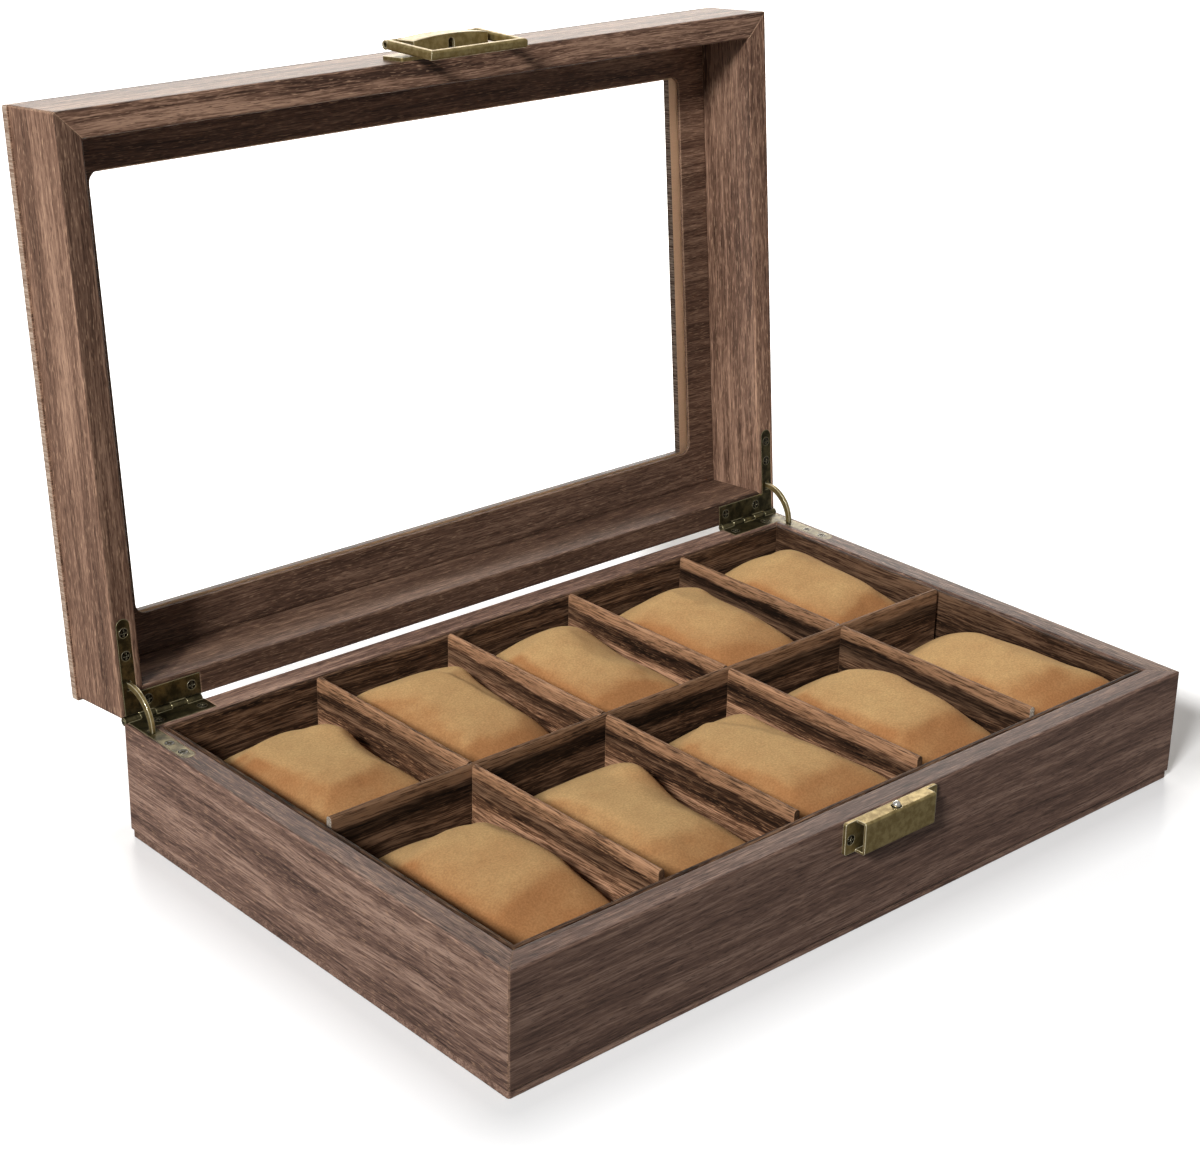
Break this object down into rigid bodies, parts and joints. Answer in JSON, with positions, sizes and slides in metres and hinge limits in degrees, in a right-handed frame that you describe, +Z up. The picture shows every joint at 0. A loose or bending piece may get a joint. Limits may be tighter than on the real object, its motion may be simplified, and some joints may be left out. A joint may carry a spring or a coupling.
{
  "type": "watch box",
  "caption": "Wood-grain display box with rows of cushioned watch slots and a hinged lid with a glass window, corner stay hinges and a bail clasp.",
  "frame": {"origin": "centre of the box's underside", "axes": "+X right along the length, -Y front (clasp side), +Y back (hinge side), +Z up"},
  "size_m": [0.3026, 0.2487, 0.2442],
  "materials": {
    "wood_wrap": "walnut-grain wrap on board, satin",
    "lining_wrap": "walnut-grain wrap on thin board, satin",
    "suede": "short-napped tan suede, matte",
    "bronze": "dark antique bronze plating",
    "brass": "aged brass plating, edges rubbed bright",
    "nickel": "polished",
    "pane": "clear"
  },
  "bodies": {
    "base": {"front_wall": "wood_wrap", "right_wall": "wood_wrap", "back_wall": "wood_wrap", "left_wall": "wood_wrap", "bottom_panel": "wood_wrap", "floor_lining": "lining_wrap", "front_lining": "lining_wrap", "right_lining": "lining_wrap", "back_lining": "lining_wrap", "left_lining": "lining_wrap", "long_divider": "lining_wrap", "cross_divider_1": "lining_wrap", "cross_divider_2": "lining_wrap", "cross_divider_3": "lining_wrap", "cross_divider_4": "lining_wrap", "right_base_leaf": "bronze", "left_base_leaf": "bronze", "right_hinge_pin": "bronze", "left_hinge_pin": "bronze", "base_leaf_screws": "bronze", "catch_plate": "brass", "catch_screws": "bronze", "catch_spring": "nickel"},
    "lid": {"right_lid_leaf": "bronze", "left_lid_leaf": "bronze", "lid_leaf_screws": "bronze", "lid_front_wall": "wood_wrap", "lid_right_wall": "wood_wrap", "lid_back_wall": "wood_wrap", "lid_left_wall": "wood_wrap", "top_panel": "wood_wrap", "window_glass": "pane", "window_frame": "wood_wrap", "clasp_plate": "brass", "clasp_screws": "brass"},
    "right_stay": {"right_stay": "brass"},
    "left_stay": {"left_stay": "brass"},
    "clasp": {"clasp_pin": "brass", "clasp_bail": "brass", "clasp_cover": "brass"},
    "ball": {"catch_ball": "nickel"},
    "front_cushion_1": {"front_cushion_1": "suede"},
    "front_cushion_2": {"front_cushion_2": "suede"},
    "front_cushion_3": {"front_cushion_3": "suede"},
    "front_cushion_4": {"front_cushion_4": "suede"},
    "front_cushion_5": {"front_cushion_5": "suede"},
    "back_cushion_1": {"back_cushion_1": "suede"},
    "back_cushion_2": {"back_cushion_2": "suede"},
    "back_cushion_3": {"back_cushion_3": "suede"},
    "back_cushion_4": {"back_cushion_4": "suede"},
    "back_cushion_5": {"back_cushion_5": "suede"}
  },
  "joints": [
    {"name": "lid_hinge", "type": "hinge", "parent": "base", "child": "lid", "pos_m": [0, 0.09875, 0.04115], "axis": [-1, 0, 0], "range_deg": [-95, 0]},
    {"name": "right_stay_turn", "type": "hinge", "parent": "base", "child": "right_stay", "pos_m": [0.1464, 0.09875, 0.04115], "axis": [-1, 0, 0], "range_deg": [-47.5, 0]},
    {"name": "left_stay_turn", "type": "hinge", "parent": "base", "child": "left_stay", "pos_m": [-0.1464, 0.09875, 0.04115], "axis": [-1, 0, 0], "range_deg": [-47.5, 0]},
    {"name": "clasp_swing", "type": "hinge", "parent": "lid", "child": "clasp", "pos_m": [0.0015, 0.12682, 0.24096], "axis": [-1, 0, 0], "range_deg": [0, 100]},
    {"name": "ball_press", "type": "slide", "parent": "base", "child": "ball", "axis": [0, 0, -1], "range_m": [0, 0.0012], "stiffness_N_per_m": 600, "springref_m": -0.0005, "deforming": ["catch_spring"]},
    {"name": "front_cushion_1_lift", "type": "slide", "parent": "base", "child": "front_cushion_1", "axis": [0, 0, 1], "range_m": [0, 0.045]},
    {"name": "front_cushion_2_lift", "type": "slide", "parent": "base", "child": "front_cushion_2", "axis": [0, 0, 1], "range_m": [0, 0.045]},
    {"name": "front_cushion_3_lift", "type": "slide", "parent": "base", "child": "front_cushion_3", "axis": [0, 0, 1], "range_m": [0, 0.045]},
    {"name": "front_cushion_4_lift", "type": "slide", "parent": "base", "child": "front_cushion_4", "axis": [0, 0, 1], "range_m": [0, 0.045]},
    {"name": "front_cushion_5_lift", "type": "slide", "parent": "base", "child": "front_cushion_5", "axis": [0, 0, 1], "range_m": [0, 0.045]},
    {"name": "back_cushion_1_lift", "type": "slide", "parent": "base", "child": "back_cushion_1", "axis": [0, 0, 1], "range_m": [0, 0.045]},
    {"name": "back_cushion_2_lift", "type": "slide", "parent": "base", "child": "back_cushion_2", "axis": [0, 0, 1], "range_m": [0, 0.045]},
    {"name": "back_cushion_3_lift", "type": "slide", "parent": "base", "child": "back_cushion_3", "axis": [0, 0, 1], "range_m": [0, 0.045]},
    {"name": "back_cushion_4_lift", "type": "slide", "parent": "base", "child": "back_cushion_4", "axis": [0, 0, 1], "range_m": [0, 0.045]},
    {"name": "back_cushion_5_lift", "type": "slide", "parent": "base", "child": "back_cushion_5", "axis": [0, 0, 1], "range_m": [0, 0.045]}
  ],
  "couplings": [
    {"joint": "right_stay_turn", "follows": "lid_hinge", "ratio": 0.5},
    {"joint": "left_stay_turn", "follows": "lid_hinge", "ratio": 0.5}
  ]
}
